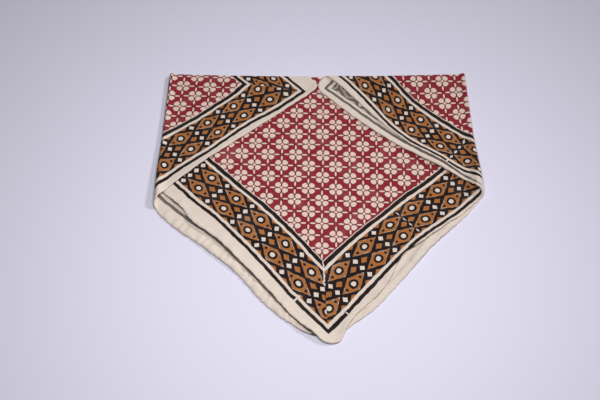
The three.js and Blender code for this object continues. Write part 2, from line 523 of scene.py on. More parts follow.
    def lay(self, u: Array, v: Array) -> tuple[Array, Array]:
        """Lay places of the cut along and across the top fold, before it is folded.

        Args:
            u: the places along the front's lower right edge.
            v: the places along the front's lower left edge.

        Returns:
            Their places along the fold line, and across it with the front negative.
        """
        a = u / self.side_u
        b = v / self.side_v
        shares = ((1 - a) * (1 - b), a * (1 - b), a * b, (1 - a) * b)
        along = sum(share * corner.along for share, corner in zip(shares, self.corners))
        across = sum(share * corner.across for share, corner in zip(shares, self.corners))
        tug = 0.0
        for t in self.tugs:
            away = (along - t.along) ** 2 + (across - t.across) ** 2
            tug = tug + t.pull * np.exp(-away / t.reach**2)
        return along, across + tug

    def cut_place(self, along: Array, across: Array) -> tuple[Array, Array]:
        """Find the places on the cut that lie at these places along and across the fold.

        Args:
            along: places along the fold line.
            across: places across it.

        Returns:
            The places' u and v.
        """
        front, right, _, left = self.corners
        du = np.array([right.along - front.along, right.across - front.across]) / self.side_u
        dv = np.array([left.along - front.along, left.across - front.across]) / self.side_v
        turn = np.linalg.inv(np.stack([du, dv], axis=1))
        u = np.full_like(along, self.side_u / 2)
        v = np.full_like(across, self.side_v / 2)
        for _ in range(self.solve_rounds):
            now_along, now_across = self.lay(u, v)
            miss_along = along - now_along
            miss_across = across - now_across
            u = u + turn[0, 0] * miss_along + turn[0, 1] * miss_across
            v = v + turn[1, 0] * miss_along + turn[1, 1] * miss_across
        return u, v

    def hem_chains(self) -> tuple[Array, Array]:
        """Give the laid hem as two chains from the left tip to the right tip, front and back.

        Returns:
            Both chains, one laid point each row.
        """
        edge = self.cut_edge()
        laid = np.stack(self.lay(edge[:, 0], edge[:, 1]), axis=1)
        turned = np.roll(laid, -int(laid[:, 0].argmin()), axis=0)
        right = int(turned[:, 0].argmax())
        back = np.concatenate([turned[right:], turned[:1]])[::-1]
        return turned[: right + 1], back

    def row_lines(self, front_step: float, back_step: float) -> Array:
        """List the mesh lines across the fold, close together in the bend.

        Args:
            front_step: the lines' spacing on the front.
            back_step: their spacing on the back.

        Returns:
            The lines' places across the fold.
        """
        bend = steps_between(0.0, self.bend_half, 2 * self.bend_half / self.bend_steps)
        front = bend + steps_between(self.bend_half, self.mesh_reach, front_step)
        back = bend + steps_between(self.bend_half, self.mesh_reach, back_step)
        return np.array([-r for r in reversed(front)] + [0.0] + back)

    def column_lines(self, front: Array, back: Array) -> Array:
        """List the mesh lines along the fold, with more of them where the hem goes round the bend.

        Args:
            front: the front hem's laid points.
            back: the back hem's laid points.

        Returns:
            The lines' places along the fold.
        """
        lines = [front[0, 0]]
        stops = (-self.fold_to, -self.fold_from, self.fold_from, self.fold_to, front[-1, 0])
        steps = (self.fine_step, self.fold_step, self.fine_step, self.fold_step, self.fine_step)
        for stop, step in zip(stops, steps):
            lines += steps_between(lines[-1], stop, step)
        rows = self.row_lines(self.fine_step, self.fine_step)
        crossed: list[float] = []
        for row in rows[np.abs(rows) <= self.bend_half + TINY]:
            for chain in (front, back):
                low = chain[:-1, 1] < row
                high = chain[1:, 1] < row
                for k in np.flatnonzero(low != high):
                    p, q = chain[k], chain[k + 1]
                    crossed.append(p[0] + (q[0] - p[0]) * (row - p[1]) / (q[1] - p[1]))
        clear = [line for line in lines if all(abs(line - place) > self.bend for place in crossed)]
        return np.array(sorted(clear + crossed))

    def columns(self) -> list[Array]:
        """List the laid mesh points, column by column, each from the front hem to the back hem.

        Returns:
            The columns.
        """
        front, back = self.hem_chains()
        lines = self.column_lines(front, back)
        panel_rows = self.row_lines(self.fine_step, self.hidden_step)
        flap_rows = self.row_lines(self.hidden_step, self.fine_step)
        fine_rows = self.row_lines(self.fine_step, self.fine_step)
        found: list[Array] = []
        for k, along in enumerate(lines):
            low = np.interp(along, front[:, 0], front[:, 1])
            high = np.interp(along, back[:, 0], back[:, 1])
            if k in (0, len(lines) - 1):
                found.append(np.array([[along, low]]))
                continue
            plain = panel_rows if abs(along) < self.fold_to else flap_rows
            near = (fine_rows < low + self.visible_hem) | (fine_rows > high - self.visible_hem)
            far = (plain >= low + self.visible_hem) & (plain <= high - self.visible_hem)
            rows = np.sort(np.concatenate([fine_rows[near], plain[far]]))
            deep = self.hem_rows[-1] + self.fine_step / 2
            room = high - low > 2 * deep + 4 * self.bend_half
            hems = [low + r for r in self.hem_rows] + [high - r for r in self.hem_rows] if room else []
            keep = deep if room else self.fold_step
            inside = rows[(rows > low + keep) & (rows < high - keep)]
            if room:
                in_bend = np.abs(rows) <= self.bend_half + TINY
                bend = rows[in_bend & (rows > low + self.hem_clear) & (rows < high - self.hem_clear)]
                hems = [h for h in hems if abs(h) > self.bend_half + self.bend_clear]
                inside = np.unique(np.concatenate([inside, bend]))
            across = np.sort(np.concatenate([[low], inside, hems, [high]]))
            found.append(np.stack([np.full_like(across, along), across], axis=1))
        return found

    def over_top(self, across: Array) -> tuple[Array, Array, Array, Array]:
        """Fold the cloth's middle over the top fold.

        Args:
            across: places across the fold line, the front negative.

        Returns:
            The places' y and height, and the y and height of the way that the printed face looks.
        """
        angle = np.clip(across / self.bend, -math.pi / 2, math.pi / 2)
        straight = np.maximum(0.0, np.abs(across) - self.bend_half)
        out_y = np.cos(angle)
        out_height = -np.sin(angle)
        y = self.bend * out_y - straight
        height = self.thickness / 2 + self.bend + self.bend * out_height
        return y, height, out_y, out_height

    def over_side(
        self, along: Array, y: Array, height: Array, rise: Array
    ) -> tuple[Array, Array]:
        """Fold places over the side folds: round a loop and down on the front.

        Args:
            along: places along the top fold.
            y: their y after the top fold.
            height: the height of the middle of their layer.
            rise: how far they stand above that middle.

        Returns:
            Their x and z.
        """
        left = self.left_fold.smooth(-y)
        right = self.right_fold.smooth(-y)
        out, loop, ease = (np.where(along < 0, a, b) for a, b in zip(left, right))
        side = np.where(along < 0, -1.0, 1.0)
        outward = self.pair - height
        start = out - loop - self.pair
        over = np.arccos(1 - np.maximum(0.0, 2 * loop - self.flap_gap) / (loop + ease))
        loop_length = (loop + outward) * (math.pi + over)
        ease_length = (ease - outward) * over
        loop_radius = loop + outward - rise
        ease_radius = ease - outward + rise
        run = np.abs(along) - start
        ease_x = start - (loop + ease) * np.sin(over)
        ease_z = self.pair + loop + (loop + ease) * np.cos(over)
        turn = np.clip(run / (loop + outward), 0.0, math.pi + over)
        back = over - np.clip((run - loop_length) / (ease - outward), 0.0, over)
        beyond = np.maximum(0.0, run - loop_length - ease_length)
        in_loop = (run > 0) & (run <= loop_length)
        x_loop = start + loop_radius * np.sin(turn)
        z_loop = self.pair + loop - loop_radius * np.cos(turn)
        x_flap = ease_x + ease_radius * np.sin(back) - beyond
        z_flap = ease_z - ease_radius * np.cos(back)
        x = np.where(run <= 0, np.abs(along), np.where(in_loop, x_loop, x_flap))
        z = np.where(run <= 0, height + rise, np.where(in_loop, z_loop, z_flap))
        return side * x, z

    def settle(self, x: Array, y: Array, z: Array) -> Array:
        """Let the top fold sag and the layers stand off each other.

        Args:
            x: folded places along the top fold.
            y: folded places across it.
            z: folded heights.

        Returns:
            The settled places, one row each.
        """
        arch = np.maximum(0.0, 1.0 - (x / self.top_sag_half) ** 2)
        sag = self.top_sag * arch * np.exp(np.minimum(0.0, y) / self.top_sag_fade)
        floors = {
            Gap.UNDER_BACK: self.floor_reach,
            Gap.UNDER_FRONT: (self.thickness, self.layer_gap),
            Gap.UNDER_FLAP: (self.pair, self.flap_gap),
            Gap.INSIDE_FLAP: (self.pair + self.flap_gap + self.thickness, self.layer_gap),
        }
        inside = 1.0 - smooth_step(self.rise_full, self.rise_end, np.abs(x))
        lift = np.zeros_like(x)
        for rise in self.rises:
            low, high = floors[rise.gap]
            share = np.clip((z - low) / high, 0.0, 1.0)
            c, s = math.cos(math.radians(rise.turn)), math.sin(math.radians(rise.turn))
            p = (x - rise.x) * c + (y - rise.y) * s
            q = (y - rise.y) * c - (x - rise.x) * s
            lift += rise.height * share * np.exp(-((p / rise.length) ** 2) - (q / rise.width) ** 2)
        return np.stack([x, y - sag, z + inside * lift], axis=-1)

    def folded(
        self, along: Array, across: Array, offset: Array, lift: Array
    ) -> Array:
        """Fold laid places.

        Args:
            along: places along the top fold.
            across: places across it.
            offset: how far they are from the cloth's middle, towards the printed face.
            lift: how far the standing hem raises them.

        Returns:
            The folded places, one row each.
        """
        y, height, out_y, out_height = self.over_top(across)
        x, z = self.over_side(along, y, height, offset * out_height)
        places = self.settle(x, y + offset * out_y, z)
        places[:, 2] += lift
        return places

    def both_faces(self, points: Array, u: Array, v: Array) -> Array:
        """Fold the printed face and the reverse, and stand them on the floor.

        Args:
            points: the laid mesh points.
            u: their places on the cut along u.
            v: their places on the cut along v.

        Returns:
            The folded points of the printed face, then those of the reverse.
        """
        hem_from, hem_to = self.hem_width - self.hem_soft, self.hem_width + self.hem_soft
        hem = 1.0 - smooth_step(hem_from, hem_to, self.hem_distance(u, v))
        half = (self.thickness + (self.hem_thickness - self.thickness) * hem) / 2
        lift = self.hem_lift(u, v)
        printed = self.folded(points[:, 0], points[:, 1], half, lift)
        reverse = self.folded(points[:, 0], points[:, 1], -half, lift)
        places = np.concatenate([printed, reverse])
        places[:, 2] -= places[:, 2].min()
        return places

    def triangles(self, columns: list[Array]) -> Array:
        """Join the columns into a closed sheet: the printed face, the reverse and the rim.

        Args:
            columns: the laid mesh points, column by column.

        Returns:
            The triangles, as point numbers. The reverse's points follow the printed face's.
        """
        ends = np.cumsum([len(column) for column in columns]).tolist()
        starts = [0] + ends[:-1]
        total = ends[-1]
        faces: list[tuple[int, int, int]] = []
        rims: list[tuple[int, int]] = []
        for k in range(len(columns) - 1):
            faces += self.zip_columns(columns[k], columns[k + 1], starts[k], starts[k + 1])
            rims += [(starts[k], starts[k + 1]), (ends[k + 1] - 1, ends[k] - 1)]
        upper = np.array(faces)
        under = upper[:, ::-1] + total
        rim = np.array(rims)
        rim_a = np.stack([rim[:, 0], rim[:, 0] + total, rim[:, 1] + total], axis=1)
        rim_b = np.stack([rim[:, 0], rim[:, 1] + total, rim[:, 1]], axis=1)
        made = np.concatenate([upper, under, rim_a, rim_b])
        solid = (made[:, 0] != made[:, 1]) & (made[:, 1] != made[:, 2])
        return made[solid & (made[:, 0] != made[:, 2])]

    def build(self, name: str, layout: PrintLayout, fold_line: Vector) -> bpy.types.Object:
        """Make the cloth's mesh with its print's places.

        Args:
            name: the object's name.
            layout: where the print lies on the cut.
            fold_line: the middle of the top fold, in metres of the frame.

        Returns:
            The cloth, its printed face in the first material slot and its reverse in the second.
        """
        columns = self.columns()
        points = np.concatenate(columns)
        u, v = self.cut_place(points[:, 0], points[:, 1])
        places = self.both_faces(points, u, v) * MM + np.array([fold_line.x, fold_line.y, 0.0])
        triangles = self.triangles(columns)
        side = np.where((triangles >= len(points)).all(axis=1), 1, 0)
        mesh = bpy.data.meshes.new(name)
        mesh.from_pydata(places.tolist(), [], triangles.tolist())
        mesh.polygons.foreach_set("material_index", side.astype(np.int32))
        mesh.polygons.foreach_set("use_smooth", np.ones(len(triangles), bool))
        loops = np.empty(len(mesh.loops), np.int32)
        mesh.loops.foreach_get("vertex_index", loops)
        on_cut = loops % len(points)
        on_reverse = np.repeat(side, 3) == 1
        bake = np.stack([u / self.side_u, v / self.side_v * BAKE_PRINTED], axis=-1)[on_cut]
        bake[on_reverse, 1] = BAKE_REVERSE_FROM + bake[on_reverse, 1] * BAKE_REVERSE
        maps = {
            "flat_cut": np.stack([u, v], axis=-1)[on_cut] * MM,
            "border_place": layout.border_place(u, v)[on_cut],
            "border_run": layout.border_run(u, v)[on_cut],
            "field_grid": layout.field_grid(u, v)[on_cut],
            "OFBake": bake,
        }
        for label, values in maps.items():
            layer = mesh.uv_layers.new(name=label)
            layer.data.foreach_set("uv", values.astype(np.float32).ravel())
        mesh.validate()
        cloth = add_object(name, mesh)
        log.info("%s: %d triangles", name, len(mesh.polygons))
        return cloth

    def zip_columns(
        self, left: Array, right: Array, first: int, second: int
    ) -> list[tuple[int, int, int]]:
        """Fill the strip between two neighbouring columns with triangles.

        Args:
            left: the left column's laid points.
            right: the right column's laid points.
            first: the number of the left column's first point.
            second: the number of the right column's first point.

        Returns:
            The triangles, as point numbers.
        """
        faces: list[tuple[int, int, int]] = []
        i = j = 0
        last_i, last_j = len(left) - 1, len(right) - 1
        left_across, right_across = left[:, 1].tolist(), right[:, 1].tolist()
        while i < last_i or j < last_j:
            left_next = left_across[i + 1] if i < last_i else math.inf
            right_next = right_across[j + 1] if j < last_j else math.inf
            if left_next <= right_next:
                faces.append((first + i, second + j, first + i + 1))
                i += 1
            else:
                faces.append((first + i, second + j, second + j + 1))
                j += 1
        return faces


# Drawing with nodes

MIX_UNDER = 6
MIX_OVER = 7
MIX_RESULT = 2


def sum_method(operation: str) -> Callable[..., "Signal"]:
    """Give a method that places one kind of sum.

    Args:
        operation: the kind of sum.

    Returns:
        The method.
    """
    def method(self: "Signal", other: Value = 0.0) -> "Signal":
        """Place the sum of this and another value."""
        return self.board.math(operation, self, other)

    return method


class Signal:
    """A value on a node's output, used in sums as a number is."""

    __add__ = sum_method("ADD")
    __sub__ = sum_method("SUBTRACT")
    __mul__ = sum_method("MULTIPLY")
    __truediv__ = sum_method("DIVIDE")
    __abs__ = sum_method("ABSOLUTE")
    fract = sum_method("FRACT")
    floor = sum_method("FLOOR")
    least = sum_method("MINIMUM")
    most = sum_method("MAXIMUM")
    below = sum_method("LESS_THAN")

    def __init__(self, board: "NodeBoard", socket: bpy.types.NodeSocket) -> None:
        """Keep the board that the value is drawn on, and its socket."""
        self.board = board
        self.socket = socket

    def __rsub__(self, other: float) -> "Signal":
        """Take away from a number."""
        return self.board.math("SUBTRACT", other, self)

    def climb(self, low: float, high: float) -> "Signal":
        """Rise smoothly from 0 at low to 1 at high."""
        inputs = {"Value": self, "From Min": low, "From Max": high}
        return self.board.place("ShaderNodeMapRange", inputs, "Result", interpolation_type="SMOOTHSTEP")

    def inside(self, limit: float, soft: float) -> "Signal":
        """Be 1 below a limit, with a soft edge."""
        return 1.0 - self.climb(limit - soft, limit + soft)

    def stripe(self, low: float, high: float, soft: float) -> "Signal":
        """Be 1 between two limits, with soft edges."""
        return self.climb(low - soft, low + soft) * self.inside(high, soft)


class NodeBoard:
    """A node tree to draw on."""

    def __init__(self, tree: bpy.types.NodeTree) -> None:
        """Keep the tree."""
        self.tree = tree

    def fill(self, node: bpy.types.Node, inputs: dict) -> None:
        """Fill a node's inputs.

        Args:
            node: the node.
            inputs: signals, numbers or colours, by the inputs' names or numbers.
        """
        for key, value in inputs.items():
            if isinstance(value, Signal):
                self.tree.links.new(value.socket, node.inputs[key])
            else:
                node.inputs[key].default_value = (*value, 1.0) if isinstance(value, tuple) else value

    def place(self, kind: str, inputs: dict, output: Union[str, int], **settings: str) -> Signal:
        """Place a node.

        Args:
            kind: the kind of node.
            inputs: what goes in, by the inputs' names or numbers.
            output: the output that is used.
            settings: the node's own settings.

        Returns:
            The value on the output.
        """
        node = self.tree.nodes.new(kind)
        for name, setting in settings.items():
            setattr(node, name, setting)
        self.fill(node, inputs)
        return Signal(self, node.outputs[output])

    def split(self, arrow: Signal) -> tuple[Signal, Signal]:
        """Give the first two values of an arrow.

        Args:
            arrow: the arrow.

        Returns:
            Its X and Y.
        """
        node = self.tree.nodes.new("ShaderNodeSeparateXYZ")
        self.fill(node, {"Vector": arrow})
        return Signal(self, node.outputs["X"]), Signal(self, node.outputs["Y"])

    def math(self, operation: str, a: Value, b: Value = 0.0) -> Signal:
        """Place a sum of one or two values."""
        return self.place("ShaderNodeMath", {0: a, 1: b}, 0, operation=operation)

    def length(self, a: Signal, b: Signal) -> Signal:
        """Place the length of a flat arrow."""
        return self.math("SQRT", a * a + b * b)

    def pick(self, share: Signal, low: Signal, high: Signal) -> Signal:
        """Go from one value to another by a share."""
        return low + (high - low) * share

    def uv(self, name: str) -> tuple[Signal, Signal]:
        """Read both values of one of the piece's own maps."""
        return self.split(self.place("ShaderNodeUVMap", {}, "UV", uv_map=name))

    def pair(self, a: Signal, b: Signal) -> Signal:
        """Join two values into one arrow."""
        return self.place("ShaderNodeCombineXYZ", {"X": a, "Y": b}, "Vector")

    def noise(self, at: Signal, scale: float, detail: float = 2.0, rough: float = 0.5) -> Signal:
        """Place cloudy noise from 0 to 1."""
        inputs = {"Vector": at, "Scale": scale, "Detail": detail, "Roughness": rough}
        return self.place("ShaderNodeTexNoise", inputs, "Fac", noise_dimensions="2D")

    def chance(self, cell: Signal) -> tuple[Signal, Signal]:
        """Place two chance values from 0 to 1, the same all over a cell."""
        colour = self.place("ShaderNodeTexWhiteNoise", {"Vector": cell}, "Color", noise_dimensions="2D")
        return self.split(colour)

    def blend(self, share: Signal, under: Union[Signal, Colour], over: Union[Signal, Colour]) -> Signal:
        """Lay one colour over another by a share."""
        inputs = {"Factor": share, MIX_UNDER: under, MIX_OVER: over}
        return self.place("ShaderNodeMix", inputs, MIX_RESULT, data_type="RGBA")

    def shade(self, colour: Signal, amount: Signal) -> Signal:
        """Make a colour darker or lighter by an amount."""
        inputs = {0: colour, "Scale": amount}
        return self.place("ShaderNodeVectorMath", inputs, "Vector", operation="SCALE")


class EffectGroup:
    """A shader node group with named inputs and outputs, built once and used by several materials."""

    def __init__(
        self,
        name: str,
        inputs: Sequence[str],
        outputs: Sequence[str],
        draw: Callable[[NodeBoard, dict[str, Signal]], dict[str, Signal]],
    ) -> None:
        """Build the group.

        Args:
            name: the group's name.
            inputs: the names of its inputs.
            outputs: the names of its outputs.
            draw: draws the group's nodes from its inputs and gives the value of each output.
        """
        self.tree = bpy.data.node_groups.new(name, "ShaderNodeTree")
        for label in inputs:
            self.tree.interface.new_socket(label, in_out="INPUT", socket_type="NodeSocketFloat")
        for label in outputs:
            self.tree.interface.new_socket(label, in_out="OUTPUT", socket_type="NodeSocketFloat")
        board = NodeBoard(self.tree)
        start = self.tree.nodes.new("NodeGroupInput")
        end = self.tree.nodes.new("NodeGroupOutput")
        given = {label: Signal(board, start.outputs[label]) for label in inputs}
        board.fill(end, draw(board, given))

    def place(self, board: NodeBoard, **values: float) -> dict[str, Signal]:
        """Place the group in a material with its own values.

        Args:
            board: the material's node tree.
            values: the inputs' values, by name.

        Returns:
            The group's outputs, by name.
        """
        node = board.tree.nodes.new("ShaderNodeGroup")
        node.node_tree = self.tree
        board.fill(node, values)
        return {output.name: Signal(board, output) for output in node.outputs}


# The print

@dataclass(frozen=True)
class BorderBlock:
    """The border's hand block: stripes as shares of its width, and lozenges in millimetres."""

    outer_black: float = 0.072
    outer_pale: float = 0.133
    band_end: float = 0.857
    inner_pale: float = 0.914
    half_width: float = 10.9
    half_length: float = 22.25
    lozenge: float = 0.88
    ring_outer: Span = (5.5, 6.4)
    ring_inner: Span = (2.75, 3.2)
    dot_at: float = 11.8
    dot: float = 1.9
    pale_at: float = 5.2
    pale_half: float = 3.6
    ochre_at: float = 9.3
    ochre_half: Span = (3.6, 5.3)
    soft: float = 0.05
    line_soft: float = 0.006
    miss_width: float = 0.06
    miss_soft: float = 0.01
    miss_from: Span = (0.52, 0.6)
    miss_strength: float = 0.8

    def draw(self, board: NodeBoard, share: Signal, run: Signal, patchy: Signal) -> tuple[Signal, Signal]:
        """Draw the border.

        Args:
            board: the node tree.
            share: how far into the border a place is.
            run: how many lozenges lie before it.
            patchy: cloudy noise that says where the ochre block misses the black one.

        Returns:
            Where black and where ochre is printed.
        """
        lines = share.stripe(0.0, self.outer_black, self.line_soft)
        lines = lines.most(share.stripe(self.inner_pale, 1.0, self.line_soft))
        band = share.stripe(self.outer_pale, self.band_end, self.line_soft)
        column = ((share - self.outer_pale) * (2.0 / (self.band_end - self.outer_pale))).fract() - 0.5
        x = abs(column) * (2.0 * self.half_width)
        y = abs((run + 0.5).fract() - 0.5) * (2.0 * self.half_length)
        diamond = x / self.half_width + y / self.half_length
        lozenge = diamond.inside(self.lozenge, self.soft / 2)
        rim = diamond.stripe(self.lozenge - self.miss_width, self.lozenge, self.miss_soft)
        missed = rim * patchy.climb(*self.miss_from)
        ring = board.length(x / self.ring_outer[0], y / self.ring_outer[1]).inside(1.0, self.soft)
        eye = board.length(x / self.ring_inner[0], y / self.ring_inner[1]).inside(1.0, self.soft)
        dot = board.length(x / self.dot, (y - self.dot_at) / self.dot).inside(1.0, 2 * self.soft)
        from_side = self.half_width - x
        from_tip = self.half_length - y
        pale = (abs(from_side - self.pale_at) + from_tip) / self.pale_half
        pale = pale.inside(1.0, self.soft)
        stone = from_side / self.ochre_half[0] + abs(from_tip - self.ochre_at) / self.ochre_half[1]
        stone = stone.inside(1.0, self.soft)
        ochre = (lozenge * (1.0 - ring.most(dot).most(missed))).most(stone * (1.0 - lozenge))
        cotton = (lozenge * eye.most(missed * self.miss_strength)).most(pale * (1.0 - lozenge))
        black = lines.most(band * (1.0 - ochre.most(cotton)))
        return black, band * ochre


@dataclass(frozen=True)
class FlowerBlock:
    """The field's hand block, in shares of the flowers' spacing."""

    petal_at: float = 0.245
    petal_length: float = 0.146
    petal_width: float = 0.098
    petal_flare: float = 0.24
    leaf_at: float = 0.46
    leaf_length: float = 0.15
    leaf_width: float = 0.049
    heart: float = 0.068
    heart_ring: float = 0.098
    outline: float = 0.15
    wander: float = 0.05
    soft: float = 0.05
    heart_soft: float = 0.01

    def draw(self, board: NodeBoard, grid_u: Signal, grid_v: Signal) -> tuple[Signal, Signal]:
        """Draw the flowers.

        Args:
            board: the node tree.
            grid_u: places in flowers along u.
            grid_v: places in flowers along v.

        Returns:
            Where red is printed, and where the thin dark outlines are.
        """
        cell_u = (grid_u + 0.5).floor()
        cell_v = (grid_v + 0.5).floor()
        chance_u, chance_v = board.chance(board.pair(cell_u, cell_v))
        x = abs(grid_u - cell_u + (chance_u - 0.5) * self.wander)
        y = abs(grid_v - cell_v + (chance_v - 0.5) * self.wander)
        out = x.most(y)
        off = x.least(y)
        half = out * self.petal_flare + self.petal_width
        petal = board.length((out - self.petal_at) / self.petal_length, off / half)
        middle = (x + y) * math.sqrt(0.5)
        aside = abs(x - y) * math.sqrt(0.5)
        leaf = board.length((middle - self.leaf_at) / self.leaf_length, aside / self.leaf_width)
        ring = out.climb(self.heart_ring - self.heart_soft, self.heart_ring + self.heart_soft)
        cotton = petal.inside(1.0, self.soft).most(leaf.inside(1.0, self.soft)) * ring
        cotton = cotton.most(out.inside(self.heart, self.heart_soft))
        near = petal.stripe(1.0, 1.0 + self.outline, self.soft)
        near = near.most(leaf.stripe(1.0, 1.0 + 2 * self.outline, self.soft))
        near = near.most(out.stripe(self.heart, self.heart_ring, self.heart_soft))
        return 1.0 - cotton, near * (1.0 - cotton)


@dataclass(frozen=True)
class BlockJoints:
    """Bare gaps where the hand blocks did not quite meet. Metres of the cut, and border shares."""

    mitre_half: float = 0.02
    mitre_share: Span = (0.66, 1.02)
    mitre_reach: float = 0.19
    left_gap: Span = (0.0714, 0.0737)
    left_share: float = 0.16
    right_gap: Span = (0.0450, 0.0465)
    right_share: float = 0.062
    edge_reach: float = 0.045
    flap_gap: Span = (0.2142, 0.2164)
    flap_share: float = 0.13
    flap_from: Span = (0.50, 0.51)
    gap_soft: float = 0.0004
    mitre_soft: float = 0.006
    share_soft: float = 0.01
    mitre_reach_soft: float = 0.002
    edge_reach_soft: float = 0.001

    def draw(self, u: Signal, v: Signal, share: Signal, across_corner: Signal) -> Signal:
        """Draw the gaps.

        Args:
            u: places on the cut along u.
            v: places on the cut along v.
            share: how far into the border a place is.
            across_corner: how far a place is from the line through a corner, in shares of the border.

        Returns:
            Where the cotton is left bare.
        """
        front_corner = (u + v).inside(self.mitre_reach, self.mitre_reach_soft)
        mitre = abs(across_corner).inside(self.mitre_half, self.mitre_soft)
        mitre = mitre * share.stripe(*self.mitre_share, self.share_soft) * front_corner
        left = v.stripe(*self.left_gap, self.gap_soft) * u.inside(self.edge_reach, self.edge_reach_soft)
        left = left * share.inside(self.left_share, self.share_soft)
        right = u.stripe(*self.right_gap, self.gap_soft) * v.inside(self.edge_reach, self.edge_reach_soft)
        right = right * share.inside(self.right_share, self.share_soft)
        flap = v.stripe(*self.flap_gap, self.gap_soft) * u.climb(*self.flap_from)
        flap = flap * share.inside(self.flap_share, self.share_soft)
        return mitre.most(left).most(right.most(flap))


RUN_DRIFT = 0.03
MITRE_DRIFT = 0.12


def draw_block_print(board: NodeBoard, given: dict[str, Signal]) -> dict[str, Signal]:
    """Draw the whole print on the cloth's own maps.

    Args:
        board: the group's node tree.
        given: the group's inputs. Wobble says how unsteady the printed lines are.

    Returns:
        The share of each ink.
    """
    u, v = board.uv("flat_cut")
    cut = board.pair(u, v)
    share_u, share_v = board.uv("border_place")
    run_u, run_v = board.uv("border_run")
    grid_u, grid_v = board.uv("field_grid")
    wobble = (board.noise(cut, scale=90.0, detail=3.0) - 0.5) * given["Wobble"]
    drift = (board.noise(cut, scale=130.0) - 0.5) * RUN_DRIFT
    along_v = share_u.below(share_v)
    share = share_u.least(share_v) + wobble
    run = board.pick(along_v, run_u, run_v) + drift
    patchy = board.noise(cut, scale=160.0)
    black, ochre = BorderBlock().draw(board, share, run, patchy)
    red, outline = FlowerBlock().draw(board, grid_u, grid_v)
    in_field = share.climb(low=1.012, high=1.022)
    across_corner = share_u - share_v + (patchy - 0.5) * MITRE_DRIFT
    printed = 1.0 - BlockJoints().draw(u, v, share, across_corner)
    return {
        "Black": black * printed,
        "Ochre": ochre * printed,
        "Red": red * in_field,
        "Outline": outline * in_field,
        "Field": in_field,
    }


def draw_cotton_weave(board: NodeBoard, given: dict[str, Signal]) -> dict[str, Signal]:
    """Draw plain weave.

    Args:
        board: the group's node tree.
        given: the group's inputs. Slub says how uneven the threads are.

    Returns:
        The threads' height, and how light they are.
    """
    threads = 2100.0
    slub_long, slub_short = 60.0, 900.0
    slub_height = 0.8
    tone_least, tone_change = 0.95, 0.10
    u, v = board.uv("flat_cut")
    cut = board.pair(u, v)
    warp = board.math("SINE", u * (threads * math.pi))
    weft = board.math("SINE", v * (threads * math.pi))
    height = warp * weft * 0.5 + 0.5
    slub = board.noise(board.pair(u * slub_long, v * slub_short), scale=1.0)
    slub_across = board.noise(board.pair(u * slub_short, v * slub_long), scale=1.0)
    uneven = (slub + slub_across - 1.0) * given["Slub"]
    tone = uneven + board.noise(cut, scale=45.0, detail=3.0) * tone_change + tone_least
    return {"Height": height + (slub + slub_across) * slub_height, "Tone": tone}


def draw_print_wear(board: NodeBoard, given: dict[str, Signal]) -> dict[str, Signal]:
    """Draw how fully the inks cover: cloudy over the block and grainy on the threads.

    Args:
        board: the group's node tree.
        given: the group's inputs. Strength is the share of the cotton that the ink takes.

    Returns:
        The share that is covered.
    """
    cover_least, cloud_change, grain_change = 0.78, 0.10, 0.12
    cut = board.pair(*board.uv("flat_cut"))
    cloud = board.noise(cut, scale=35.0, detail=4.0, rough=0.6).climb(low=0.2, high=0.6)
    grain = board.noise(cut, scale=1500.0, rough=0.6).climb(low=0.25, high=0.6)
    cover = cloud * cloud_change + grain * grain_change + cover_least
    return {"Cover": cover * given["Strength"]}


# Finishes

def start_material(name: str) -> tuple[bpy.types.Material, NodeBoard, bpy.types.Node]:
    """Make a material, and give it with its node tree and its shader.

    Args:
        name: the material's name.

    Returns:
        The material, its node tree and its shader.
    """
    material = bpy.data.materials.new(name)
    material.use_nodes = True
    return material, NodeBoard(material.node_tree), material.node_tree.nodes["Principled BSDF"]


@dataclass(frozen=True)
class PrintedCotton:
    """Matt cotton with hand-printed inks. The reverse of the cloth has the same print, paler, and its
    darkened black and greyed ochre also paint in shade.
    """

    name: str
    cotton: Colour
    stained: Colour
    red: Colour
    ochre: Colour
    black: Colour
    strength: float
    outline: float
    hold_black: float
    wobble: float = 0.04
    slub: float = 0.16
    roughness: float = 0.93
    sheen: float = 0.04
    specular: float = 0.15
    relief: float = 0.25
    thread_height: float = 0.00015
    black_wear: float = 0.3

    def make(self, print_ink: EffectGroup, weave: EffectGroup, wear: EffectGroup) -> bpy.types.Material:
        """Make the material.

        Args:
            print_ink: the group that draws the print.
            weave: the group that draws the threads.
            wear: the group that says how fully the inks cover.

        Returns:
            The material.
        """
        material, board, shader = start_material(self.name)
        ink = print_ink.place(board, Wobble=self.wobble)
        thread = weave.place(board, Slub=self.slub)
        cover = wear.place(board, Strength=self.strength)["Cover"]
        colour = board.blend(ink["Field"], self.cotton, self.stained)
        colour = board.blend(ink["Red"] * cover, colour, self.red)
        colour = board.blend(ink["Outline"] * cover * self.outline, colour, self.black)
        colour = board.blend(ink["Ochre"] * cover, colour, self.ochre)
        black_cover = cover * self.black_wear + self.hold_black
        colour = board.blend(ink["Black"] * black_cover, colour, self.black)
        colour = board.shade(colour, thread["Tone"])
        relief = {"Strength": self.relief, "Distance": self.thread_height, "Height": thread["Height"]}
        board.fill(shader, {
            "Base Color": colour,
            "Roughness": self.roughness,
            "Sheen Weight": self.sheen,
            "Specular IOR Level": self.specular,
            "Normal": board.place("ShaderNodeBump", relief, "Normal"),
        })
        return material


@dataclass(frozen=True)
class FloorFinish:
    """The plain pale floor."""

    name: str = "pale floor"
    colour: Colour = (0.723, 0.70, 0.835)
    darkest: float = 0.985
    cloud_scale: float = 3.0
    roughness: float = 0.95
    specular: float = 0.1

    def make(self) -> bpy.types.Material:
        """Make the material, with a faint unevenness.

        Returns:
            The material.
        """
        material, board, shader = start_material(self.name)
        place = board.place("ShaderNodeTexCoord", {}, "Object")
        darker = tuple(self.darkest * c for c in self.colour)
        board.fill(shader, {
            "Base Color": board.blend(board.noise(place, self.cloud_scale), darker, self.colour),
            "Roughness": self.roughness,
            "Specular IOR Level": self.specular,
        })
        return material


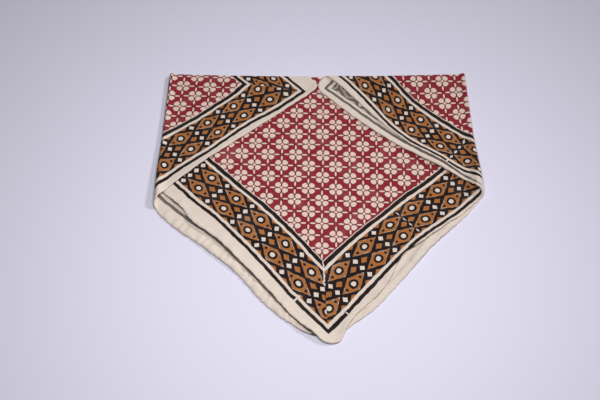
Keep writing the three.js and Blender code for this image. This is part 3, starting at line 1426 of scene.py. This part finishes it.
# The studio

@dataclass
class Studio:
    """A pale floor, soft light and the camera at the photograph's angle. Metres."""

    target: Vector
    elevation: float = 56.73
    distance: float = 1.266
    focal_pixels: float = 1044.3
    floor_size: float = 8.0
    floor: FloorFinish = field(default_factory=FloorFinish)
    sky_colour: tuple[float, float, float, float] = (0.93, 0.93, 1.0, 1.0)
    sky_strength: float = 0.03
    lamp_place: tuple[float, float, float] = (0.012, -0.12, 0.67)
    lamp_power: float = 4.1
    lamp_size: float = 0.4
    far_lamp_from: tuple[float, float, float] = (0.8, 0.4, 0.55)
    far_lamp_strength: float = 1.6
    far_lamp_spread: float = 9.0

    def lay_floor(self) -> None:
        """Lay the floor under the cloth."""
        mesh = bpy.data.meshes.new("floor")
        shape = bmesh.new()
        bmesh.ops.create_grid(shape, x_segments=1, y_segments=1, size=self.floor_size / 2)
        shape.to_mesh(mesh)
        shape.free()
        mesh.materials.append(self.floor.make())
        add_object("floor", mesh)

    def light(self) -> None:
        """Fill the room with soft light, hang a large lamp over the front, and add light from far off."""
        world = bpy.data.worlds.new("soft room")
        world.use_nodes = True
        sky = world.node_tree.nodes["Background"]
        sky.inputs["Color"].default_value = self.sky_colour
        sky.inputs["Strength"].default_value = self.sky_strength
        bpy.context.scene.world = world
        soft = bpy.data.lights.new("soft lamp", "AREA")
        soft.shape = "SQUARE"
        soft.size = self.lamp_size
        soft.energy = self.lamp_power
        self.hang(soft, Vector(self.lamp_place))
        far = bpy.data.lights.new("far lamp", "SUN")
        far.energy = self.far_lamp_strength
        far.angle = math.radians(self.far_lamp_spread)
        self.hang(far, Vector(self.far_lamp_from))
        bpy.context.scene.view_settings.view_transform = "Standard"

    def hang(self, data: bpy.types.Light, place: Vector) -> None:
        """Hang a light at a place, looking at the cloth.

        Args:
            data: the light.
            place: where it hangs.
        """
        lamp = add_object(data.name, data)
        lamp.location = place
        lamp.rotation_euler = (-place).to_track_quat("-Z", "Y").to_euler()

    def point_camera(self) -> None:
        """Set the camera at the photograph's angle."""
        data = bpy.data.cameras.new("camera")
        data.sensor_fit = "HORIZONTAL"
        data.sensor_width = SENSOR_WIDTH
        data.lens = self.focal_pixels / IMAGE_WIDTH * SENSOR_WIDTH
        camera = add_object("camera", data)
        tilt = math.radians(self.elevation)
        away = Vector((0.0, -math.cos(tilt), math.sin(tilt))) * self.distance
        camera.location = self.target + away
        camera.rotation_euler = (-away).to_track_quat("-Z", "Y").to_euler()
        bpy.context.scene.camera = camera


# Sizes of this cloth

# How far in from the straight cut the hem runs along each edge, or out where negative
HEMS: dict[Edge, Track] = {
    Edge.FRONT_RIGHT: Track((
        (15.0, 0.0), (27.0, 5.0), (40.0, 8.8), (62.0, 10.7), (98.0, 11.2), (117.0, 15.8),
        (138.0, 23.5), (155.0, 26.5), (172.0, 23.0), (190.0, 20.8), (211.0, 18.0), (240.0, 13.5),
        (277.0, 13.5), (400.0, 6.0), (500.0, 0.0), (547.0, 0.0),
    )),
    Edge.BACK_RIGHT: Track((
        (0.0, 0.0), (270.0, 0.0), (323.0, -3.4), (389.0, -0.6), (446.0, -3.8), (512.0, -3.4),
        (529.0, 0.0), (577.0, 0.0),
    )),
    Edge.BACK_LEFT: Track((
        (0.0, 0.0), (255.0, 0.0), (291.0, -5.0), (353.0, 0.3), (405.0, 2.6), (453.0, -3.1),
        (487.0, -2.2), (499.0, 0.0), (547.0, 0.0),
    )),
    Edge.FRONT_LEFT: Track((
        (0.0, 0.0), (19.0, 0.8), (30.0, 0.2), (42.0, -1.6), (65.0, -1.8), (102.0, 1.8),
        (150.0, 4.6), (197.0, 5.6), (237.0, 0.9), (253.0, 4.2), (289.0, 3.4), (360.0, 0.0),
        (577.0, 0.0),
    )),
}

LIFTS = (
    HemLift(Edge.FRONT_LEFT, start=8.0, stop=292.0, height=1.5, reach=10.0, pitch=31.0, ripple=0.6),
    HemLift(Edge.FRONT_RIGHT, start=8.0, stop=285.0, height=1.7, reach=9.0, pitch=37.0, ripple=0.6),
    HemLift(
        Edge.BACK_LEFT, start=270.0, stop=545.0, height=1.0, reach=5.0, pitch=12.0, ripple=0.9, inset=6.5
    ),
    HemLift(
        Edge.BACK_RIGHT, start=290.0, stop=560.0, height=0.6, reach=4.0, pitch=29.0, ripple=0.5, inset=6.0
    ),
    HemLift(Edge.BACK_LEFT, start=-15.0, stop=268.0, height=0.9, reach=9.0, pitch=41.0, ripple=0.4),
    HemLift(Edge.BACK_RIGHT, start=-15.0, stop=268.0, height=0.5, reach=7.0, pitch=47.0, ripple=0.4),
    HemLift(Edge.FRONT_RIGHT, start=285.0, stop=562.0, height=0.5, reach=8.0, pitch=43.0, ripple=0.3),
)

# Where the border starts and ends along each edge, measured from the cut
BORDERS: dict[Edge, Track] = {
    Edge.FRONT_LEFT: Track((
        (0.0, 11.5, 72.0), (45.0, 12.0, 73.0), (87.0, 14.2, 74.8), (126.0, 18.6, 78.6),
        (190.0, 22.0, 81.3), (217.0, 22.6, 80.0), (250.0, 20.3, 79.6), (285.0, 20.0, 79.3),
        (577.0, 19.0, 67.0),
    )),
    Edge.FRONT_RIGHT: Track((
        (0.0, 15.5, 83.5), (35.0, 16.5, 84.0), (67.0, 18.8, 84.6), (108.0, 22.0, 86.0),
        (150.0, 23.5, 85.0), (184.0, 23.8, 83.0), (209.0, 20.6, 82.2), (250.0, 16.0, 78.0),
        (275.0, 16.0, 77.0), (547.0, 7.0, 62.0),
    )),
    Edge.BACK_RIGHT: Track((
        (0.0, 12.0, 66.0), (47.0, 9.9, 66.0), (86.0, 8.6, 64.0), (122.0, 5.2, 58.8),
        (152.0, 4.3, 58.8), (190.0, 4.5, 60.2), (219.0, 3.2, 61.5), (265.0, 8.0, 64.0),
        (310.0, 20.0, 76.0), (400.0, 31.0, 87.0), (470.0, 26.0, 82.0), (530.0, 18.0, 74.0),
        (577.0, 14.0, 70.0),
    )),
    Edge.BACK_LEFT: Track((
        (0.0, 6.0, 77.0), (44.0, 5.6, 76.0), (67.0, 6.7, 73.5), (90.0, 10.4, 70.0),
        (119.0, 12.7, 70.0), (149.0, 12.0, 70.6), (175.0, 11.4, 74.0), (205.0, 13.0, 76.0),
        (262.0, 10.8, 72.0), (311.0, 12.8, 72.0), (350.0, 16.6, 75.0), (378.0, 15.6, 74.0),
        (427.0, 12.2, 71.0), (487.0, 5.8, 66.0), (577.0, 6.0, 66.0),
    )),
}

# How many lozenges of the border lie before a place along each edge
RUNS: dict[Edge, Track] = {
    Edge.FRONT_LEFT: Track((
        (-9.0, -1.0), (36.0, 0.0), (85.0, 1.0), (133.5, 2.0), (178.0, 3.0), (220.5, 4.0),
        (264.0, 5.0), (577.0, 12.2),
    )),
    Edge.FRONT_RIGHT: Track((
        (-9.0, -1.0), (35.5, 0.0), (79.0, 1.0), (124.5, 2.0), (168.5, 3.0), (186.0, 3.40),
        (188.0, 3.60), (206.0, 4.0), (248.0, 5.0), (547.0, 12.0),
    )),
    Edge.BACK_RIGHT: Track((
        (-15.0, -1.0), (68.0, 1.0), (111.0, 2.0), (150.0, 3.0), (195.0, 4.0), (214.5, 4.43),
        (216.5, 4.57), (236.0, 5.0), (577.0, 13.0),
    )),
    Edge.BACK_LEFT: Track((
        (-22.0, -1.0), (61.0, 1.0), (102.0, 2.0), (143.0, 3.0), (182.5, 4.0), (220.0, 5.0),
        (547.0, 13.0),
    )),
}

PRINTED_FACE = PrintedCotton(
    name="printed cotton",
    cotton=(0.68, 0.58, 0.51),
    stained=(0.71, 0.525, 0.465),
    red=(0.235, 0.012, 0.022),
    ochre=(0.36, 0.118, 0.020),
    black=(0.012, 0.006, 0.006),
    strength=1.05,
    outline=0.75,
    hold_black=0.7,
)
# The reverse's print is paler, as the inks show through the cotton. Its black is kept dark and its ochre
# greyed beyond that: this is painted shade for the right flap's opening and for the shade line along the
# front hem's lower left edge.
REVERSE_FACE = PrintedCotton(
    name="cotton reverse",
    cotton=(0.68, 0.585, 0.51),
    stained=(0.68, 0.55, 0.48),
    red=(0.42, 0.20, 0.19),
    ochre=(0.36, 0.27, 0.20),
    black=(0.03, 0.022, 0.02),
    strength=0.85,
    outline=0.3,
    hold_black=0.58,
)

CAD_FOLD_DEPTH = 1.3
CAMERA_AIM = (-22.9, -195.0)


def main() -> None:
    """Build the cloth, dress it, and set up the studio."""
    logging.basicConfig(level=logging.INFO, format="%(message)s")
    cad_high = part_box(CAD_NODE)[1]
    fold_line = Vector((0.0, cad_high.y - CAD_FOLD_DEPTH * MM, 0.0))
    shape = FoldedCloth(hems=HEMS, lifts=LIFTS)
    layout = PrintLayout(shape.side_u, shape.side_v, BORDERS, RUNS)
    cloth = shape.build("printed_cloth", layout, fold_line)

    inks = ("Black", "Ochre", "Red", "Outline", "Field")
    print_ink = EffectGroup("block print", ("Wobble",), inks, draw_block_print)
    weave = EffectGroup("cotton weave", ("Slub",), ("Height", "Tone"), draw_cotton_weave)
    wear = EffectGroup("print wear", ("Strength",), ("Cover",), draw_print_wear)
    for finish in (PRINTED_FACE, REVERSE_FACE):
        cloth.data.materials.append(finish.make(print_ink, weave, wear))
        log.info("finish: %s", finish.name)

    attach(cloth, "root")
    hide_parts(CAD_NODE)
    shape.side_u * MM
    shape.side_v * MM

    aim = Vector((CAMERA_AIM[0] * MM, CAMERA_AIM[1] * MM, 0.0))
    studio = Studio(target=fold_line + aim)
    studio.lay_floor()
    studio.light()
    studio.point_camera()
    log.info("studio ready")


if __name__ == "__main__":
    main()
